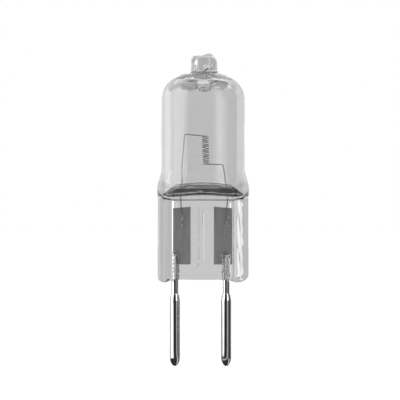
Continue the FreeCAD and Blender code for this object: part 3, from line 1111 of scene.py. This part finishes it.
# Low cards round the pins, which the metal and the glass reflect
LOW_DISTANCE = 26
LOW_FOOT = 0.05
LOW_HEIGHTS = (LOW_FOOT, 14)
LOW_FLAGS = (
    ("low_flag_front", (-40, 24), BLACK),
    ("low_flag_grey", (24, 52), GREY),
    ("low_flag_right", (52, 96), BLACK),
    ("low_flag_back", (96, 180), DIM),
    ("low_flag_left", (-180, -108), DIM),
)
for name, span, material in LOW_FLAGS:
    flag(name, span, LOW_DISTANCE, LOW_HEIGHTS, material, to_middle=True)

# A small card at each pin's nose, and a dark disc under both
NOSE_CARD = ((0.2, -0.1), (5, -1), (5, -4), (0.3, -0.3))
NOSE_CARD_HEIGHT = 0.06
DISC_RADIUS = 11
DISC_HEIGHTS = (LOW_FOOT / 2, LOW_FOOT / 2 + 0.001)
for side, pin_x in (("left", LEFT_PIN_X), ("right", RIGHT_PIN_X)):
    corners = [(pin_x + x, y) for x, y in NOSE_CARD]
    shown_only(flat_card("nose_card_" + side, corners, NOSE_CARD_HEIGHT, SILVER), False)
flag("low_disc", (-180, 180), DISC_RADIUS, DISC_HEIGHTS, BLACK, to_middle=True)

# Pale cards that the tip shows, and a dark card behind the lamp that the bulb's foot shows as a lens
TIP_CARD_DISTANCE = 14
TIP_CARD_HEIGHTS = (36.3, 41)
for name, span in (("tip_card_back", (162, 270)), ("tip_card_side", (95, 147))):
    flag(name, span, TIP_CARD_DISTANCE, TIP_CARD_HEIGHTS, PALE, through_glass=True)
BEHIND_CARD = ((-16, 8.6), (16, 8.6), (16, 16), (-16, 16))
BEHIND_CARD_HEIGHT = 0.1
shown_only(flat_card("card_behind", BEHIND_CARD, BEHIND_CARD_HEIGHT, BLACK), True)


# The view: focal length, sensor, and the width and middle of what it takes in at the object
LENS = 150.0
SENSOR = 36.0
VIEW_WIDTH = 49.6
VIEW_CENTRE = (-0.385, 20.58)
CAMERA_DISTANCE = LENS * VIEW_WIDTH / SENSOR


# Lamps
def area_lamp(name, width, tall, radiance):
    """A soft lamp, which the camera doesn't see."""
    data = bpy.data.lights.new(name, "AREA")
    data.shape = "RECTANGLE"
    data.size = width * MM
    data.size_y = tall * MM
    data.energy = radiance * math.pi * width * MM * tall * MM
    lamp = bpy.data.objects.new(name, data)
    lamp.visible_camera = False
    bpy.context.scene.collection.objects.link(lamp)
    return lamp


AIM_HEIGHT = 20


def softbox(name, degrees, distance, height, width, tall, radiance):
    """An upright soft lamp at an angle from the camera's side, aimed at the object's middle."""
    lamp = area_lamp(name, width, tall, radiance)
    angle = math.radians(degrees)
    place = Vector((distance * math.sin(angle), -distance * math.cos(angle), height)) * MM
    aim = Vector((0, 0, AIM_HEIGHT * MM)) - place
    lamp.location = place
    lamp.rotation_euler = aim.to_track_quat("-Z", "Y").to_euler()
    return lamp


STRIP_Y = 40.0


def back_strip(name, left, right, low, high, radiance):
    """A lamp close behind the object, where the camera would see it between these places."""
    away = 1 + STRIP_Y / CAMERA_DISTANCE
    lamp = area_lamp(name, (right - left) * away, (high - low) * away, radiance)
    middle_x = VIEW_CENTRE[0] + ((left + right) / 2 - VIEW_CENTRE[0]) * away
    middle_z = VIEW_CENTRE[1] + ((low + high) / 2 - VIEW_CENTRE[1]) * away
    lamp.location = (middle_x * MM, STRIP_Y * MM, middle_z * MM)
    lamp.rotation_euler = (-math.pi / 2, 0, 0)
    return lamp


softbox("softbox_left", degrees=-78, distance=160, height=45, width=150, tall=200, radiance=2.0)
right_box = softbox(
    "softbox_right", degrees=44, distance=160, height=45, width=50, tall=200, radiance=1.4
)
right_box.visible_transmission = False
softbox("rim_left", degrees=-138, distance=160, height=40, width=90, tall=160, radiance=0.3)

# Lamps that only the glass shows: two for the tip, and a strip behind each rail
PRESS_STRIP = {"low": 10.8, "high": 20.2}
glass_lamps = (
    softbox("sparkle", degrees=165, distance=80, height=180, width=120, tall=120, radiance=0.8),
    softbox("tip_light", degrees=154.5, distance=30, height=40.2, width=7, tall=4.4, radiance=0.8),
    back_strip("strip_right", left=4.35, right=8.5, radiance=0.75, **PRESS_STRIP),
    back_strip("strip_left", left=-5.3, right=-4.2, radiance=0.36, **PRESS_STRIP),
)
for lamp in glass_lamps:
    lamp.visible_diffuse = False
    lamp.visible_glossy = False

# The world: white where it is seen, and a soft even light
AMBIENT = 0.4
world = bpy.data.worlds.new("studio")
bpy.context.scene.world = world
world.use_nodes = True
world_nodes = world.node_tree.nodes
world_links = world.node_tree.links
background = world_nodes["Background"]
background.inputs["Color"].default_value = (1, 1, 1, 1)
world_links.new(shown_white(world_nodes, world_links, AMBIENT), background.inputs["Strength"])

# Camera, at the photograph's angle: level, from the front
camera_data = bpy.data.cameras.new("camera")
camera_data.lens = LENS
camera_data.sensor_width = SENSOR
camera_data.clip_start = MM
camera = bpy.data.objects.new("camera", camera_data)
camera.location = Vector((VIEW_CENTRE[0], -CAMERA_DISTANCE, VIEW_CENTRE[1])) * MM
camera.rotation_euler = (math.pi / 2, 0, 0)
bpy.context.scene.collection.objects.link(camera)
bpy.context.scene.camera = camera
bpy.context.scene.view_settings.view_transform = "Standard"

bpy.context.view_layer.update()
